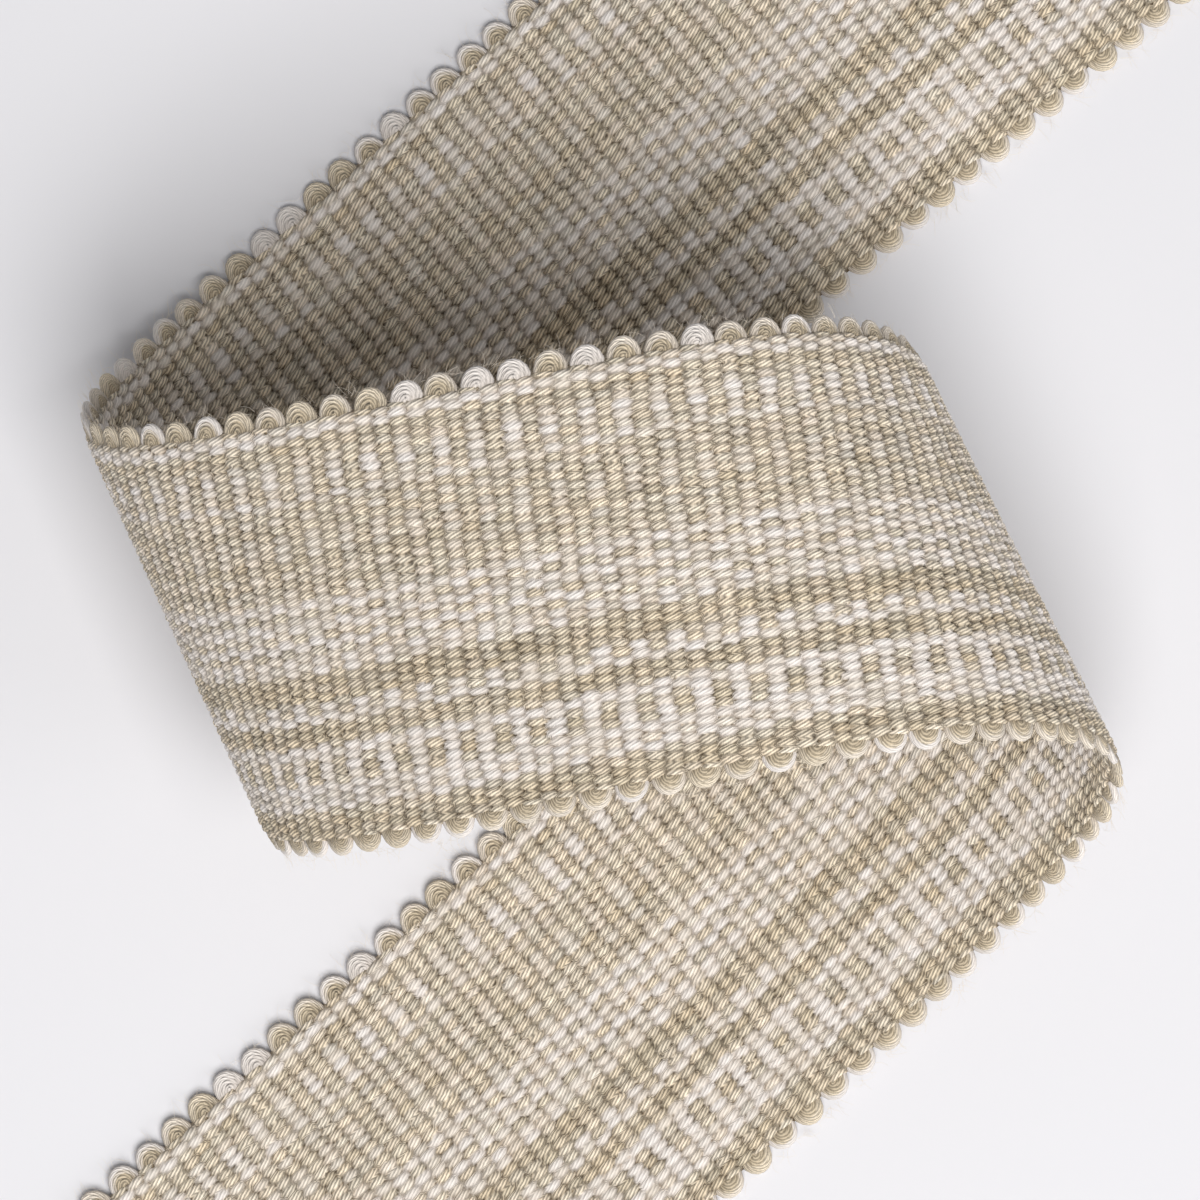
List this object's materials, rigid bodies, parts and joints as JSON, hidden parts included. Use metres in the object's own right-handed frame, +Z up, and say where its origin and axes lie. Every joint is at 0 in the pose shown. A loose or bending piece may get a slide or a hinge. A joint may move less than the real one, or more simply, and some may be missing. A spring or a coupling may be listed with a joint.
{
  "type": "woven tape trim",
  "caption": "Length of woven tape with small looped picots along both edges, lying flat at its ends and rising in one loose turn between them.",
  "frame": {"origin": "middle of the bounding box at the height of the surface the tape lies on", "axes": "+Z up from the surface, +Y along the axis of the raised turn, +X across that axis, towards the side where the tape first curls up"},
  "size_m": [0.1878, 0.1676, 0.0617],
  "materials": {
    "woven_yarn": "matte, heathered linen and off-white yarn"
  },
  "bodies": {
    "root": {"tape": "woven_yarn"}
  },
  "joints": []
}
